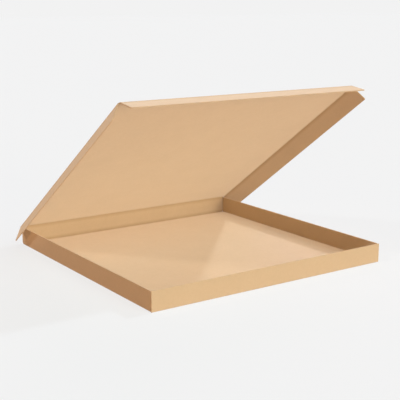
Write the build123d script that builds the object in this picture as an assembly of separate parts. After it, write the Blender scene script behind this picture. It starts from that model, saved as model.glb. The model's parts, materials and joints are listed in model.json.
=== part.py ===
"""Open kraft pizza box, in millimetres: a glued tray and a hinged lid with three flaps.

The box is cut from one sheet of thin corrugated board. The tray is folded up and glued at its
corners. The lid turns on the score along the top of the back wall, and its three flaps turn on
scores along its front and side edges. +X is right, +Y is back and +Z is up, with the origin
under the middle of the tray.
"""
import os

from build123d import *

# Tray, outside sizes
TRAY_WIDTH = 420.0
TRAY_DEPTH = 420.0
WALL_HEIGHT = 30.0

# Board and its folds
BOARD = 1.5
FOLD_INSIDE = 0.5
SCORE_GAP = 0.2

# Glued tabs at the tray's corners
TAB_LENGTH = 36.0
TAB_MARGIN = 2.0
TAB_TAPER = 4.0
TAB_CORNER = 3.0
BACK_WALL_GAP = 0.5

# Lid and flaps
LID_SEAT_GAP = 0.3
FLAP_WALL_GAP = 1.0
FLAP_HEIGHT = 29.5
FLAP_END_GAP = 1.5
FLAP_CORNER = 1.5

# Angles at rest, in degrees: the lid from closed, each flap outwards from square to the lid
LID_OPEN = 35.0
FRONT_SPLAY = 47.0
SIDE_SPLAY = 35.0

# Places that several panels share
FOLD_OUTSIDE = FOLD_INSIDE + BOARD
HALF_WIDTH = TRAY_WIDTH / 2
HALF_DEPTH = TRAY_DEPTH / 2
BACK_FACE = HALF_DEPTH - BOARD
TAB_BOTTOM = FOLD_OUTSIDE + TAB_MARGIN
TAB_TOP = WALL_HEIGHT - TAB_MARGIN

# Lines that the lid and the flaps turn on, at the middle of the board, with the lid closed
HINGE_Y = BACK_FACE - BOARD / 2
HINGE_Z = WALL_HEIGHT + LID_SEAT_GAP + BOARD / 2
SCORE_X = HALF_WIDTH + FLAP_WALL_GAP + BOARD / 2
SCORE_Y = -(HALF_DEPTH + FLAP_WALL_GAP + BOARD / 2)
SCORE_EDGE = BOARD / 2 + SCORE_GAP


def fold(length):
    """A fold along X: a quarter ring of board that turns the sheet from flat to upright."""
    ring = Circle(FOLD_OUTSIDE) - Circle(FOLD_INSIDE)
    quarter = ring & Rectangle(FOLD_OUTSIDE, FOLD_OUTSIDE, align=(Align.MAX, Align.MAX))
    return extrude(Plane.YZ * quarter, length / 2, both=True)


def floor_panel():
    """The flat floor between the four folds at its edges."""
    width = TRAY_WIDTH - 2 * FOLD_OUTSIDE
    front = -HALF_DEPTH + FOLD_OUTSIDE
    back = BACK_FACE - FOLD_OUTSIDE
    return Pos(0, front, 0) * Box(width, back - front, BOARD, align=(Align.CENTER, Align.MIN, Align.MIN))


def front_wall():
    """The front wall: a full-width panel on a fold that stops short of the corners."""
    panel = Box(
        TRAY_WIDTH, BOARD, WALL_HEIGHT - FOLD_OUTSIDE, align=(Align.CENTER, Align.MIN, Align.MIN)
    )
    bottom_fold = fold(TRAY_WIDTH - 2 * FOLD_OUTSIDE)
    wall = Pos(0, -HALF_DEPTH, FOLD_OUTSIDE) * panel
    return wall + Pos(0, -HALF_DEPTH + FOLD_OUTSIDE, FOLD_OUTSIDE) * bottom_fold


def back_wall():
    """The back wall, between the side walls, with the rounded score of the lid along its top."""
    width = TRAY_WIDTH - 2 * (BOARD + BACK_WALL_GAP)
    panel = Box(
        width, BOARD, HINGE_Z - FOLD_OUTSIDE, align=(Align.CENTER, Align.MAX, Align.MIN)
    )
    score = Pos(0, HINGE_Y, HINGE_Z) * Rot(0, 90, 0) * Cylinder(BOARD / 2, width)
    bottom_fold = Rot(0, 0, 180) * fold(TRAY_WIDTH - 2 * FOLD_OUTSIDE)
    wall = Pos(0, BACK_FACE, FOLD_OUTSIDE) * panel
    return wall + score + Pos(0, BACK_FACE - FOLD_OUTSIDE, FOLD_OUTSIDE) * bottom_fold


def glue_tab():
    """A corner tab as it lies against a wall: outer face on Y = 0, fold at X = 0."""
    outline = make_face(
        Polyline(
            (0, TAB_BOTTOM),
            (TAB_LENGTH, TAB_BOTTOM + TAB_TAPER),
            (TAB_LENGTH, TAB_TOP - TAB_TAPER),
            (0, TAB_TOP),
            close=True,
        )
    )
    outline = fillet(outline.vertices().group_by(Axis.X)[-1], TAB_CORNER)
    return extrude(Plane.XZ * outline, -BOARD)


def tab_fold():
    """The upright fold between a side wall and its tab, with its centre line on Z."""
    height = TAB_TOP - TAB_BOTTOM
    upright = Rot(0, 0, 90) * Rot(0, 90, 0) * fold(height)
    return Pos(0, 0, (TAB_BOTTOM + TAB_TOP) / 2) * upright


def left_wall():
    """The left wall, its fold on the floor, and the tabs at its two ends.

    The front tab lies against the inside of the front wall, and the rear tab against the
    outside of the back wall.
    """
    fold_x = -HALF_WIDTH + FOLD_OUTSIDE
    front = -HALF_DEPTH + BOARD + FOLD_OUTSIDE
    back = HALF_DEPTH - FOLD_OUTSIDE
    panel = Box(
        BOARD, back - front, WALL_HEIGHT - FOLD_OUTSIDE, align=(Align.MIN, Align.MIN, Align.MIN)
    )
    fold_length = BACK_FACE - FOLD_OUTSIDE - front
    bottom_fold = Rot(0, 0, -90) * fold(fold_length)
    wall = Pos(-HALF_WIDTH, front, FOLD_OUTSIDE) * panel
    wall += Pos(fold_x, front + fold_length / 2, FOLD_OUTSIDE) * bottom_fold
    wall += Pos(fold_x, front, 0) * tab_fold()
    wall += Pos(fold_x, -HALF_DEPTH + BOARD, 0) * glue_tab()
    rear_end = tab_fold() + Pos(0, -FOLD_OUTSIDE, 0) * glue_tab()
    return wall + Pos(fold_x, back, 0) * mirror(rear_end, Plane.XZ)


def tray():
    """The whole tray as one folded and glued sheet."""
    left = left_wall()
    return floor_panel() + front_wall() + back_wall() + left + mirror(left, Plane.YZ)


def score_bead(length):
    """The rounded outside of a score, along X, as thick as the board."""
    return Rot(0, 90, 0) * Cylinder(BOARD / 2, length)


FRONT_FLAP_LENGTH = 2 * (SCORE_X - FLAP_END_GAP)
SIDE_FLAP_BACK = HINGE_Y - SCORE_EDGE - FLAP_END_GAP
SIDE_FLAP_FRONT = SCORE_Y + FLAP_END_GAP
SIDE_FLAP_LENGTH = SIDE_FLAP_BACK - SIDE_FLAP_FRONT
SIDE_FLAP_Y = (SIDE_FLAP_BACK + SIDE_FLAP_FRONT) / 2


def lid_panel():
    """The lid, closed: a flat panel with a rounded score along each flap."""
    depth = HINGE_Y - SCORE_EDGE - SCORE_Y
    panel = Pos(0, SCORE_Y, 0) * Box(
        2 * SCORE_X, depth, BOARD, align=(Align.CENTER, Align.MIN, Align.CENTER)
    )
    panel += Pos(0, SCORE_Y, 0) * score_bead(FRONT_FLAP_LENGTH)
    for side in (-1, 1):
        panel += Pos(side * SCORE_X, SIDE_FLAP_Y, 0) * Rot(0, 0, 90) * score_bead(SIDE_FLAP_LENGTH)
    return Pos(0, 0, HINGE_Z) * panel


def flap(length, splay):
    """A flap on a score along X, reaching towards -Y and folded down from flat to its splay."""
    outline = Pos(0, -SCORE_EDGE) * Rectangle(
        length, FLAP_HEIGHT - SCORE_EDGE, align=(Align.CENTER, Align.MAX)
    )
    outline = fillet(outline.vertices().group_by(Axis.Y)[0], FLAP_CORNER)
    board = extrude(outline, BOARD / 2, both=True)
    return Rot(90 - splay, 0, 0) * board


def opened(panel):
    """Turns a panel of the closed lid up about the hinge line."""
    return panel.rotate(Axis((0, HINGE_Y, HINGE_Z), (-1, 0, 0)), LID_OPEN)


front_flap = Pos(0, SCORE_Y, HINGE_Z) * flap(FRONT_FLAP_LENGTH, FRONT_SPLAY)
side_flap = flap(SIDE_FLAP_LENGTH, SIDE_SPLAY)
left_flap = Pos(-SCORE_X, SIDE_FLAP_Y, HINGE_Z) * Rot(0, 0, -90) * side_flap
right_flap = Pos(SCORE_X, SIDE_FLAP_Y, HINGE_Z) * Rot(0, 0, 90) * side_flap

pieces = {
    "tray": tray(),
    "lid_panel": opened(lid_panel()),
    "front_flap": opened(front_flap),
    "left_flap": opened(left_flap),
    "right_flap": opened(right_flap),
}

os.makedirs("parts", exist_ok=True)
for name, piece in pieces.items():
    export_step(piece, f"parts/{name}.step")
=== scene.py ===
import json
import math

import bmesh
import bpy
from mathutils import Matrix, Vector


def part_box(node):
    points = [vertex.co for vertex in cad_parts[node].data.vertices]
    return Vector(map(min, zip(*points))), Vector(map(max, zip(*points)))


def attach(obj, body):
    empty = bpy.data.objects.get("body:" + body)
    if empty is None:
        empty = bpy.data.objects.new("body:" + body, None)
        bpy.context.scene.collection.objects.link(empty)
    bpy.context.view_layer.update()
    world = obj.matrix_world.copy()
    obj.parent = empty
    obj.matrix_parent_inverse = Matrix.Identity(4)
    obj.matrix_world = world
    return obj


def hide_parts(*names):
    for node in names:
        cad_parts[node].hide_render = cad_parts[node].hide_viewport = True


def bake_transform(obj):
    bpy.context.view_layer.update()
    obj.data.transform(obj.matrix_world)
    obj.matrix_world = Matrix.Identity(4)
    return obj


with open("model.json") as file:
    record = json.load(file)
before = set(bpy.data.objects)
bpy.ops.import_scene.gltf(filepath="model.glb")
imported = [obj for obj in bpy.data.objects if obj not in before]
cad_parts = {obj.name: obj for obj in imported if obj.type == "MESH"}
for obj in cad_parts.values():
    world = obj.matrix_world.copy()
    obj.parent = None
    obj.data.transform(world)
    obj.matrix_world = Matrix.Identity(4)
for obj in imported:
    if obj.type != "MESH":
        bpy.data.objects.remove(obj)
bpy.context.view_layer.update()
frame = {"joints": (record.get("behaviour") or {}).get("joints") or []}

joints = {joint["name"]: joint for joint in frame["joints"]}


# Tray sheet. The floor, the four walls and the four corner tabs are one sheet of fine-flute
# kraft board, folded up on rounded scores. The front tabs are glued inside the front wall and
# the rear tabs outside the back wall.
BOARD = 0.0015
FOLD_RADIUS = 0.002
FOLD_STEPS = 5
GLUE = 0.0001
CORNER_SLIT = 0.0003
WALL_TOP = 0.030
TAB_LOW = 0.004
TAB_HIGH = 0.028
TAB_LENGTH = 0.036
TAB_END = 0.016
TAB_CORNER = 0.003
TAB_CORNER_STEPS = 4
SCORE_HALF = 0.0015
SMALL = 0.00001

hinge = Vector(joints["lid_hinge"]["pos_m"])
tray_low, tray_high = (Vector(corner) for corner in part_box("tray"))
floor_low = Vector((tray_low.x + FOLD_RADIUS, tray_low.y + FOLD_RADIUS, 0))
floor_high = Vector((tray_high.x - FOLD_RADIUS, hinge.y + BOARD / 2 - FOLD_RADIUS, 0))


def start_sheet(name, low, high):
    """A flat sheet from corner to corner, left open in edit mode."""
    bpy.ops.object.select_all(action="DESELECT")
    bpy.ops.mesh.primitive_plane_add(size=1, location=(low + high) / 2)
    piece = bpy.context.object
    piece.name = name
    piece.data.name = name
    piece.scale = (high.x - low.x, high.y - low.y, 1)
    bpy.ops.object.transform_apply(location=True, rotation=True, scale=True)
    bpy.ops.object.mode_set(mode="EDIT")
    bpy.ops.mesh.select_mode(type="EDGE")
    return piece


def near(a, b):
    """True where two places are the same within a hundredth of a millimetre."""
    return abs(a - b) < SMALL


def pick_edges(piece, test):
    """Selects only the edges of the sheet whose two ends both pass the test."""
    bpy.ops.mesh.select_all(action="DESELECT")
    mesh = bmesh.from_edit_mesh(piece.data)
    for edge in mesh.edges:
        if all(test(end.co) for end in edge.verts):
            edge.select_set(True)
    bmesh.update_edit_mesh(piece.data)


def fold(centre, axis):
    """Turns the picked edge through a right angle, as a rounded fold of the sheet."""
    bpy.ops.mesh.spin(steps=FOLD_STEPS, angle=-math.pi / 2, center=centre, axis=axis)


def draw_out(x, y, z):
    """Extends the sheet from the picked edge."""
    bpy.ops.mesh.extrude_region_move(TRANSFORM_OT_translate={"value": (x, y, z)})


tray = start_sheet("tray_board", floor_low, floor_high)

front_fold = FOLD_RADIUS - CORNER_SLIT
pick_edges(tray, lambda place: near(place.y, floor_low.y))
draw_out(0, -CORNER_SLIT, 0)
bpy.ops.transform.resize(
    value=(tray_high.x / floor_high.x, 1, 1), center_override=(0, floor_low.y, 0)
)
fold((0, floor_low.y - CORNER_SLIT, front_fold), (-1, 0, 0))
draw_out(0, 0, WALL_TOP - front_fold)

pick_edges(tray, lambda place: near(place.y, floor_high.y) and near(place.z, 0))
fold((0, floor_high.y, FOLD_RADIUS), (1, 0, 0))
draw_out(0, 0, hinge.z - SCORE_HALF - FOLD_RADIUS)

wall_front = floor_low.y + BOARD + GLUE
wall_back = floor_high.y + BOARD + GLUE
for side in (-1, 1):
    wall_x = side * tray_high.x
    fold_x = side * floor_high.x
    pick_edges(tray, lambda place: near(place.x, fold_x) and near(place.z, 0))
    fold((fold_x, 0, FOLD_RADIUS), (0, -side, 0))
    draw_out(0, BOARD + GLUE, TAB_LOW - FOLD_RADIUS)
    draw_out(0, 0, TAB_HIGH - TAB_LOW)
    draw_out(0, 0, WALL_TOP - TAB_HIGH)
    for end, end_y in ((-1, wall_front), (1, wall_back)):
        pick_edges(
            tray,
            lambda place: near(place.x, wall_x)
            and near(place.y, end_y)
            and TAB_LOW - SMALL < place.z < TAB_HIGH + SMALL,
        )
        fold((fold_x, end_y, 0), (0, 0, side * end))
        draw_out(-side * TAB_LENGTH, 0, 0)
        bpy.ops.transform.resize(
            value=(1, 1, TAB_END / (TAB_HIGH - TAB_LOW)),
            center_override=(fold_x, end_y, (TAB_LOW + TAB_HIGH) / 2),
        )
        bpy.ops.mesh.bevel(offset=TAB_CORNER, segments=TAB_CORNER_STEPS, affect="VERTICES")
bpy.ops.mesh.select_all(action="SELECT")
bpy.ops.mesh.remove_doubles(threshold=SMALL)
bpy.ops.mesh.normals_make_consistent(inside=True)
bpy.ops.object.mode_set(mode="OBJECT")


# Kraft liner. Uncoated brown paper faces every panel, inside and out: matt, softly mottled, with
# short fibres and flecks, and the flutes under it showing as faint ribs. Painted shade darkens it
# along the scores of the lid and at the foot of the back wall, where shade falls in the folds.
KRAFT_PALE = (0.622, 0.457, 0.294, 1)
KRAFT_DEEP = (0.580, 0.420, 0.264, 1)
MOTTLE = {"Scale": 24, "Detail": 4, "Roughness": 0.6}
MOTTLE_SHARE = 0.3
CLOUD = {"Scale": 190, "Detail": 5, "Roughness": 0.65}
CLOUD_SHARE = 0.35
FIBRE = {"Scale": 620, "Detail": 4, "Roughness": 0.7, "Distortion": 3.2}
FIBRE_SHARE = 0.35
TONE_RANGE = {"From Min": 0.36, "From Max": 0.64}

FLECK_RAGGED = {"Scale": 1500, "Detail": 2}
FLECK_STRAY = (0.0016, 0.0016, 0.0016)
FLECK_DARK = (0.34, 0.20, 0.10, 1)
DARK_SPACING = {"Scale": 430, "Randomness": 1}
DARK_SIZE = {"From Min": 0.13, "From Max": 0.06}
DARK_SHOWS = 0.45
FLECK_PALE = (0.72, 0.56, 0.39, 1)
PALE_SPACING = {"Scale": 290, "Randomness": 1}
PALE_SIZE = {"From Min": 0.12, "From Max": 0.05}
PALE_SHOWS = 0.4

# Painted shade in the folds: its colour, how far from a fold it reaches and how strongly it shows.
FOLD_PAINTED_SHADE = (0.49, 0.335, 0.195, 1)
PAINTED_SHADE_REACH = 0.0075
PAINTED_SHADE_SHOWS = 0.85

FLUTE_PITCH = 0.0033
WAVE_TEXTURE_RATE = 20    # radians in a metre, at a scale of 1
CLOUD_RELIEF = 0.6
RIB_RELIEF = 0.25
KRAFT_BUMP = {"Strength": 0.35, "Distance": 0.00012}
KRAFT_ROUGHNESS = 0.68
CLOUD_ROUGHNESS = 0.14

# The folds along which shade is painted into the paper's colour.
fold_lines = [(joint["pos_m"], joint["axis"]) for joint in joints.values()]
fold_lines.append(((0, hinge.y - BOARD / 2, BOARD), (1, 0, 0)))


class Shade:
    """A socket of one material: arithmetic on it adds Math nodes, and node() adds any other."""

    def __init__(self, tree, socket=None):
        self.tree = tree
        self.socket = socket

    def node(self, kind, settings=None, inputs=None, output=0):
        added = self.tree.nodes.new("ShaderNode" + kind)
        for name, value in (settings or {}).items():
            setattr(added, name, value)
        for key, value in (inputs or {}).items():
            if isinstance(value, Shade):
                self.tree.links.new(value.socket, added.inputs[key])
            else:
                added.inputs[key].default_value = value
        return Shade(self.tree, added.outputs[output] if added.outputs else None)

    def math(self, operation, first, second):
        return self.node("Math", {"operation": operation}, {0: first, 1: second})

    def __add__(self, other):
        return self.math("ADD", self, other)

    def __radd__(self, other):
        return self.math("ADD", other, self)

    def __mul__(self, other):
        return self.math("MULTIPLY", self, other)

    def __rmul__(self, other):
        return self.math("MULTIPLY", other, self)


def new_material(name):
    """An empty material and the Shade that its nodes are made from."""
    material = bpy.data.materials.new(name)
    material.use_nodes = True
    material.node_tree.nodes.clear()
    return material, Shade(material.node_tree)


def mix_colours(shade, share, first, second):
    """The first colour where share is 0 and the second where it is 1."""
    # The sockets go by number, because a Mix node has others of the same names.
    sockets = {0: share, 6: first, 7: second}
    return shade.node("Mix", {"data_type": "RGBA"}, sockets, output=2)


def distance_to_fold(shade, place):
    """How far a place on the board lies from the nearest fold that is in reach."""
    nearest = PAINTED_SHADE_REACH
    for point, axis in fold_lines:
        offset = shade.node("VectorMath", {"operation": "SUBTRACT"}, {0: place, 1: point})
        arm = shade.node("VectorMath", {"operation": "CROSS_PRODUCT"}, {0: offset, 1: axis})
        reach = shade.node("VectorMath", {"operation": "LENGTH"}, {0: arm}, output="Value")
        nearest = shade.math("MINIMUM", nearest, reach)
    return nearest


def kraft_liner():
    """The brown paper on the faces of the board."""
    material, shade = new_material("kraft_liner")
    place = shade.node("TexCoord", output="Object")
    mottle = shade.node("TexNoise", inputs={"Vector": place, **MOTTLE})
    cloud = shade.node("TexNoise", inputs={"Vector": place, **CLOUD})
    fibre = shade.node("TexNoise", inputs={"Vector": place, **FIBRE})
    tone = MOTTLE_SHARE * mottle + CLOUD_SHARE * cloud + FIBRE_SHARE * fibre
    spread = shade.node("MapRange", inputs={"Value": tone, **TONE_RANGE})
    ground = mix_colours(shade, spread, KRAFT_DEEP, KRAFT_PALE)

    ragged = shade.node("TexNoise", inputs={"Vector": place, **FLECK_RAGGED}, output="Color")
    strayed = shade.node(
        "VectorMath", {"operation": "MULTIPLY_ADD"}, {0: ragged, 1: FLECK_STRAY, 2: place}
    )
    from_dark = shade.node("TexVoronoi", inputs={"Vector": strayed, **DARK_SPACING})
    from_pale = shade.node("TexVoronoi", inputs={"Vector": strayed, **PALE_SPACING})
    dark = shade.node("MapRange", inputs={"Value": from_dark, **DARK_SIZE})
    pale = shade.node("MapRange", inputs={"Value": from_pale, **PALE_SIZE})
    dark_flecked = mix_colours(shade, dark * DARK_SHOWS, ground, FLECK_DARK)
    flecked = mix_colours(shade, pale * PALE_SHOWS, dark_flecked, FLECK_PALE)

    # Painted shade: the paper's colour is darkened near the folds, standing in for the shade that
    # falls there.
    painted_fold_shade = shade.node(
        "MapRange",
        {"interpolation_type": "SMOOTHSTEP"},
        {"Value": distance_to_fold(shade, place), "From Min": PAINTED_SHADE_REACH, "From Max": 0},
    )
    colour = mix_colours(shade, painted_fold_shade * PAINTED_SHADE_SHOWS, flecked, FOLD_PAINTED_SHADE)

    ribs = shade.node(
        "TexWave",
        {"wave_type": "BANDS", "bands_direction": "X", "wave_profile": "SIN"},
        {"Vector": place, "Scale": math.tau / WAVE_TEXTURE_RATE / FLUTE_PITCH, "Distortion": 0},
        output="Fac",
    )
    height = fibre + CLOUD_RELIEF * cloud + RIB_RELIEF * ribs
    bump = shade.node("Bump", inputs={"Height": height, **KRAFT_BUMP})
    roughness = KRAFT_ROUGHNESS + CLOUD_ROUGHNESS * cloud
    surface = shade.node(
        "BsdfPrincipled", inputs={"Base Color": colour, "Roughness": roughness, "Normal": bump}
    )
    shade.node("OutputMaterial", inputs={"Surface": surface})
    return material


# Cut edges. The die leaves two thin liners standing along every edge, with the waved core paper
# between them where the cut crosses the flutes, and an open channel where it runs along them.
LINER = 0.00025
CORE_PAPER = 0.00016
CORE_DEPTH = 0.0022
CHANNEL_DEPTH = 0.00015
CORE_SET_BACK = 0.00015
CHANNEL_DRAFT = LINER / 10
WAVE_STEPS = 8
LEAST_EDGE = 0.006
SMOOTH_ANGLE = math.radians(35)
EDGE_PAPER = (0.680, 0.515, 0.345, 1)
EDGE_DEEP = (0.600, 0.435, 0.275, 1)
FUZZ = {"Scale": 900, "Detail": 5, "Roughness": 0.7}
FUZZ_BUMP = {"Strength": 0.5, "Distance": 0.0001}
EDGE_ROUGHNESS = 0.9


def cut_paper():
    """The paler, fuzzy paper that the die leaves bare."""
    material, shade = new_material("cut_paper")
    place = shade.node("TexCoord", output="Object")
    fuzz = shade.node("TexNoise", inputs={"Vector": place, **FUZZ})
    colour = mix_colours(shade, fuzz, EDGE_DEEP, EDGE_PAPER)
    bump = shade.node("Bump", inputs={"Height": fuzz, **FUZZ_BUMP})
    surface = shade.node(
        "BsdfPrincipled",
        inputs={"Base Color": colour, "Roughness": EDGE_ROUGHNESS, "Normal": bump},
    )
    shade.node("OutputMaterial", inputs={"Surface": surface})
    return material


kraft = kraft_liner()
cut = cut_paper()


def make_board(piece, grow):
    """Gives a sheet its board thickness, on the side that grow says, with cut paper on its rim."""
    piece.data.materials.append(kraft)
    piece.data.materials.append(cut)
    bpy.context.view_layer.objects.active = piece
    thick = piece.modifiers.new("board", "SOLIDIFY")
    thick.thickness = BOARD
    thick.offset = grow
    thick.use_even_offset = True
    thick.material_offset_rim = 1
    bpy.ops.object.modifier_apply(modifier=thick.name)


def open_rims(piece, rim_depth):
    """Sinks the core between the two liners, as deep as rim_depth says for each long cut edge."""
    bpy.context.view_layer.objects.active = piece
    for depth in (CHANNEL_DEPTH, CORE_DEPTH):
        bpy.ops.object.mode_set(mode="EDIT")
        bpy.ops.mesh.select_mode(type="FACE")
        bpy.ops.mesh.select_all(action="DESELECT")
        mesh = bmesh.from_edit_mesh(piece.data)
        for face in mesh.faces:
            cut_edge = face.material_index == 1 and face.calc_perimeter() > 2 * LEAST_EDGE
            if cut_edge and rim_depth(face.calc_center_median()) == depth:
                face.select_set(True)
        bmesh.update_edit_mesh(piece.data)
        bpy.ops.mesh.inset(thickness=LINER, use_individual=True)
        bpy.ops.mesh.inset(thickness=CHANNEL_DRAFT, depth=-depth, use_individual=True)
        bpy.ops.object.mode_set(mode="OBJECT")


def add_flutes(piece, start, end, inwards, across):
    """Sets the waved core paper into a cut edge that runs from start to end."""
    run = end - start
    waves = round(run.length / FLUTE_PITCH)
    swing = BOARD / 2 - LINER - CORE_PAPER / 2
    bpy.ops.object.select_all(action="DESELECT")
    bpy.ops.mesh.primitive_grid_add(x_subdivisions=waves * WAVE_STEPS, y_subdivisions=1, size=1)
    core = bpy.context.object
    for vertex in core.data.vertices:
        share = vertex.co.x + 0.5
        depth = CORE_SET_BACK if vertex.co.y < 0 else CORE_DEPTH
        wave = swing * math.sin(math.tau * waves * share)
        vertex.co = start + run * share + across * wave + inwards * depth
    core.data.materials.append(cut)
    paper = core.modifiers.new("paper", "SOLIDIFY")
    paper.thickness = CORE_PAPER
    paper.offset = 0
    bpy.ops.object.modifier_apply(modifier=paper.name)
    piece.select_set(True)
    bpy.context.view_layer.objects.active = piece
    bpy.ops.object.join()


def finish_board(piece, node, body):
    """Smooths the rounded folds and puts the piece in the place of its solid."""
    bpy.ops.object.select_all(action="DESELECT")
    piece.select_set(True)
    bpy.context.view_layer.objects.active = piece
    bpy.ops.object.shade_smooth_by_angle(angle=SMOOTH_ANGLE)
    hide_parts(node)
    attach(piece, body)


UP = Vector((0, 0, 1))
RIGHT = Vector((1, 0, 0))
BACK = Vector((0, 1, 0))


def tray_rim_depth(place):
    """The front wall's top crosses the flutes, the back wall's top runs on into the score."""
    if place.z > WALL_TOP - SMALL and place.y < tray_low.y + BOARD:
        return CORE_DEPTH
    if near(place.y, hinge.y) and near(place.z, hinge.z - SCORE_HALF):
        return 0
    return CHANNEL_DEPTH


make_board(tray, 1)
open_rims(tray, tray_rim_depth)
front_mid = tray_low.y + BOARD / 2
add_flutes(
    tray,
    Vector((tray_low.x + LINER, front_mid, WALL_TOP)),
    Vector((tray_high.x - LINER, front_mid, WALL_TOP)),
    -UP,
    BACK,
)
finish_board(tray, "tray", "tray")


# Lid. A flat panel of the same board, carried by the score on top of the back wall. It stops
# short of each score, where the crushed strip of the fold takes over, and has a small lug at each
# end of the rear score, over the corner of the tray.
LUG_START = 0.2083
LUG_BOTTOM = -0.0005

lid_open = math.radians(-joints["lid_hinge"]["range_deg"][0])
lid_up = Vector((0, -math.cos(lid_open), math.sin(lid_open)))
lid_inside = Vector((0, -math.sin(lid_open), -math.cos(lid_open)))
front_score = Vector(joints["front_flap_fold"]["pos_m"])
side_score = Vector(joints["right_flap_fold"]["pos_m"])
lid_length = (front_score - hinge).length
lid_half = side_score.x


def place_sheet(piece, origin, x_axis, y_axis):
    """Moves a sheet drawn flat at the origin to its place, with its inside along x cross y."""
    turn = Matrix((x_axis, y_axis, x_axis.cross(y_axis))).transposed().to_4x4()
    bpy.ops.object.mode_set(mode="OBJECT")
    piece.matrix_world = Matrix.Translation(origin) @ turn
    bpy.ops.object.transform_apply(location=True, rotation=True, scale=True)


lid = start_sheet(
    "lid_board",
    Vector((-lid_half + SCORE_HALF, SCORE_HALF, 0)),
    Vector((lid_half - SCORE_HALF, lid_length - SCORE_HALF, 0)),
)
for side in (-1, 1):
    bpy.ops.mesh.select_all(action="SELECT")
    bpy.ops.mesh.bisect(plane_co=(side * LUG_START, 0, 0), plane_no=(1, 0, 0))
    pick_edges(lid, lambda place: near(place.y, SCORE_HALF) and place.x * side > LUG_START - SMALL)
    draw_out(0, LUG_BOTTOM - SCORE_HALF, 0)
place_sheet(lid, hinge, RIGHT, lid_up)
make_board(lid, 0)
finish_board(lid, "lid_panel", "lid")


# Flaps. Three plain strips of the same sheet, on scores along the front and sides of the lid.
# They hang outside the tray's walls when the lid is shut, and stand splayed here. The side flaps
# are cut at a slant at the rear, from just past the hinge.
FLAP_HEIGHT = 0.0295
FLAP_END_GAP = 0.0015
FLAP_PAST_HINGE = 0.001
FLAP_TAPER = 0.0015
FLAP_CORNER = 0.0015
FLAP_CORNER_STEPS = 3


def flap_board(name, half_length, origin, x_axis, y_axis, flutes_end, tapered=0):
    """One flap from its score to its free edge, cut at a slant at the end that tapered gives."""

    def rim_depth(place):
        if near((place - origin).dot(y_axis), FLAP_HEIGHT):
            return CORE_DEPTH if flutes_end == "edge" else CHANNEL_DEPTH
        if abs((place - origin).dot(x_axis)) > half_length - FLAP_TAPER - SMALL:
            return CORE_DEPTH if flutes_end == "ends" else CHANNEL_DEPTH
        return 0

    piece = start_sheet(
        name, Vector((-half_length, SCORE_HALF, 0)), Vector((half_length, FLAP_HEIGHT, 0))
    )
    pick_edges(piece, lambda place: near(place.y, FLAP_HEIGHT))
    if tapered:
        bpy.ops.transform.resize(
            value=(1 - FLAP_TAPER / (2 * half_length), 1, 1),
            center_override=(-tapered * half_length, FLAP_HEIGHT, 0),
        )
    bpy.ops.mesh.bevel(offset=FLAP_CORNER, segments=FLAP_CORNER_STEPS, affect="VERTICES")
    place_sheet(piece, origin, x_axis, y_axis)
    make_board(piece, 0)
    open_rims(piece, rim_depth)
    return piece


front_splay = math.radians(-joints["front_flap_fold"]["range_deg"][0])
front_down = lid_inside * math.cos(front_splay) + lid_up * math.sin(front_splay)
front_half = lid_half - FLAP_END_GAP
front_flap = flap_board("front_flap_board", front_half, front_score, RIGHT, front_down, "edge")
flute_end = RIGHT * (front_half - FLAP_CORNER)
free_edge = front_score + front_down * FLAP_HEIGHT
add_flutes(
    front_flap, free_edge - flute_end, free_edge + flute_end, -front_down, RIGHT.cross(front_down)
)
finish_board(front_flap, "front_flap", "front_flap")

side_splay = math.radians(-joints["right_flap_fold"]["range_deg"][0])
side_middle = (lid_length - FLAP_END_GAP - FLAP_PAST_HINGE) / 2
side_half = (lid_length - FLAP_END_GAP + FLAP_PAST_HINGE) / 2
flute_run = FLAP_HEIGHT - FLAP_CORNER - SCORE_HALF
rear_slant = FLAP_TAPER / (FLAP_HEIGHT - SCORE_HALF)
for side, name in ((-1, "left_flap"), (1, "right_flap")):
    outwards = RIGHT * side
    down = lid_inside * math.cos(side_splay) + outwards * math.sin(side_splay)
    along = lid_up * -side
    middle = hinge + outwards * lid_half + lid_up * side_middle
    flap = flap_board(name + "_board", side_half, middle, along, down, "ends", side)
    for end in (-1, 1):
        inwards = along * -end
        edge = down + inwards * rear_slant if end == side else down
        flute_start = middle - inwards * side_half + down * SCORE_HALF
        add_flutes(
            flap, flute_start, flute_start + edge * flute_run, inwards, along.cross(down)
        )
    finish_board(flap, name, name)


# Scores. At each fold the board is crushed to a thin web by the creasing rule, so the paper runs
# on from panel to panel, round outside and with a closing groove inside.
BEND_HALF = 0.0009
BEND_STEPS = (-1, -0.6, -0.2, 0.2, 0.6, 1)
WEB = 0.0002


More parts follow.
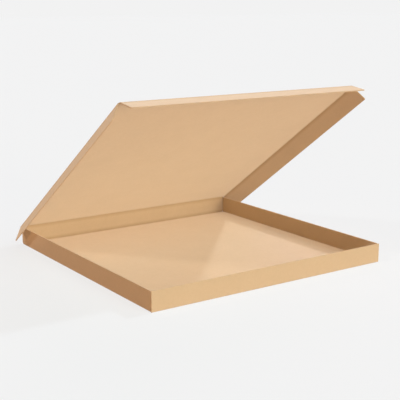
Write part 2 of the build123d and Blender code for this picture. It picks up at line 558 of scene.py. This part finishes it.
def score_strip(name, half_length, origin, out, inside, turn):
    """The strip between two panels that meet at an angle of turn from flat."""
    half = BOARD / 2
    outer = [(step * BEND_HALF, -half) for step in BEND_STEPS]
    groove = [(half, half), (WEB, WEB), (-WEB, WEB), (-half, half)]
    profile = [(-SCORE_HALF, -half), *outer, (SCORE_HALF, -half)]
    profile += [(SCORE_HALF, half), *groove, (-SCORE_HALF, half)]
    bpy.ops.object.select_all(action="DESELECT")
    bpy.ops.mesh.primitive_circle_add(vertices=len(profile), fill_type="NGON")
    strip = bpy.context.object
    strip.name = name
    strip.data.name = name
    along = out.cross(inside)
    for vertex, (across, depth) in zip(strip.data.vertices, profile):
        share = min(max((across + BEND_HALF) / (2 * BEND_HALF), 0), 1)
        eased = share * share * (3 - 2 * share)
        angle = turn * eased
        level = across * math.cos(angle) - depth * math.sin(angle)
        rise = across * math.sin(angle) + depth * math.cos(angle)
        vertex.co = origin + out * level + inside * rise - along * half_length
    bpy.ops.object.mode_set(mode="EDIT")
    bpy.ops.mesh.select_all(action="SELECT")
    bpy.ops.mesh.extrude_region_move(
        TRANSFORM_OT_translate={"value": along * (2 * half_length)}
    )
    bpy.ops.mesh.select_all(action="SELECT")
    bpy.ops.mesh.normals_make_consistent(inside=False)
    bpy.ops.object.mode_set(mode="OBJECT")
    bpy.ops.object.shade_smooth_by_angle(angle=SMOOTH_ANGLE)
    strip.data.materials.append(kraft)
    reach = out * math.cos(turn) + inside * math.sin(turn)
    origin - out * BEND_HALF
    origin + reach * BEND_HALF
    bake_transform(strip)


quarter = math.pi / 2
score_strip("lid_score", floor_high.x, hinge, UP, -BACK, quarter - lid_open)
score_strip(
    "front_score",
    front_half,
    front_score,
    lid_up,
    lid_inside,
    quarter - front_splay,
)
for side, name in ((-1, "left_flap"), (1, "right_flap")):
    middle = hinge + RIGHT * (side * lid_half) + lid_up * side_middle
    score_strip(
        name.replace("flap", "score"),
        side_half,
        middle,
        RIGHT * side,
        lid_inside,
        quarter - side_splay,
    )


# Stage. A pale paper floor that runs to the horizon. Lamps on the left and right draw the shadows
# across the tray, broad and low ones light its walls, and fills without shadows the lid. The floor
# and the world look pale but throw little light back. The camera has the photograph's angle.
EYE = Vector((-0.7949, -1.1736, 0.4036))
AIM = Vector((-0.178, -0.2764, 0.1615))
LENS = 80.66
SENSOR = 36
FLOOR_SIZE = 40
FLOOR_LIT = (0.198, 0.200, 0.200, 1)
FLOOR_GLOW = (0.660, 0.660, 0.660, 1)
FLOOR_THROWS = (0.45, 0.26, 0.13, 1)
WORLD_SEEN = (0.888, 0.888, 0.888, 1)
DARK = (0, 0, 0, 1)
LAMP_STRENGTH = math.pi
# Bearing from the front, height and width in degrees, whether it throws shadows, and colour.
LAMPS = {
    "front_right_lamp": (20, 35, 34, True, (0.320, 0.393, 0.409)),
    "left_lamp": (-95, 40, 5, True, (0.206, 0.201, 0.193)),
    "right_lamp": (91, 37.5, 2.75, True, (0.300, 0.345, 0.401)),
    "rear_right_lamp": (135, 30, 34, True, (0.230, 0.168, 0.200)),
    "front_top_lamp": (-10, 68, 24, True, (0.115, 0.062, 0.015)),
    "front_lamp": (9, 8, 20, True, (0.370, 0.300, 0.188)),
    "front_low_lamp": (0, 0.06, 0.1, True, (0.172, 0.174, 0.146)),
    "left_low_lamp": (-90, 0.06, 0.1, True, (0.238, 0.152, 0.090)),
    "rear_low_lamp": (155, 0.06, 0.1, True, (0.220, 0.210, 0.200)),
    "rear_fill": (180, 45, 10, False, (0.570, 0.592, 0.612)),
    "front_right_fill": (60, -35, 10, False, (0.242, 0.298, 0.334)),
    "below_fill": (0, -90, 10, False, (0.140, 0.198, 0.253)),
}


def seen_or_thrown(shade, seen, thrown):
    """One colour to the eye and in reflections, and another to the light that falls on the box."""
    ray = ("Is Camera Ray", "Is Glossy Ray", "Is Transmission Ray")
    camera_ray, glossy_ray, clear_ray = (shade.node("LightPath", output=name) for name in ray)
    share = camera_ray + glossy_ray + clear_ray
    return mix_colours(shade, share, thrown, seen)


bpy.ops.object.select_all(action="DESELECT")
bpy.ops.mesh.primitive_plane_add(size=FLOOR_SIZE)
floor = bpy.context.object
floor.name = "floor"
floor_paper, shade = new_material("floor_paper")
surface = shade.node(
    "BsdfPrincipled",
    inputs={
        "Base Color": seen_or_thrown(shade, FLOOR_LIT, FLOOR_THROWS),
        "Roughness": 1,
        "Specular IOR Level": 0,
        "Emission Color": seen_or_thrown(shade, FLOOR_GLOW, DARK),
        "Emission Strength": 1,
    },
)
shade.node("OutputMaterial", inputs={"Surface": surface})
floor.data.materials.append(floor_paper)

world = bpy.data.worlds.new("studio")
bpy.context.scene.world = world
world.use_nodes = True
world.node_tree.nodes.clear()
shade = Shade(world.node_tree)
sky = shade.node("Background", inputs={"Color": seen_or_thrown(shade, WORLD_SEEN, DARK)})
shade.node("OutputWorld", inputs={"Surface": sky})

for name, (bearing, height, width, shadow, colour) in LAMPS.items():
    turn = math.radians(bearing)
    rise = math.radians(height)
    level = math.cos(rise)
    towards = Vector((math.sin(turn) * level, -math.cos(turn) * level, math.sin(rise)))
    lamp = bpy.data.lights.new(name, "SUN")
    lamp.energy = LAMP_STRENGTH
    lamp.color = colour
    lamp.angle = math.radians(width)
    lamp.use_shadow = shadow
    holder = bpy.data.objects.new(name, lamp)
    bpy.context.scene.collection.objects.link(holder)
    holder.rotation_euler = (-towards).to_track_quat("-Z", "Y").to_euler()

lens = bpy.data.cameras.new("camera")
lens.lens = LENS
lens.sensor_width = SENSOR
camera = bpy.data.objects.new("camera", lens)
bpy.context.scene.collection.objects.link(camera)
camera.location = EYE
camera.rotation_euler = (AIM - EYE).to_track_quat("-Z", "Y").to_euler()
bpy.context.scene.camera = camera
bpy.context.scene.view_settings.view_transform = "Standard"
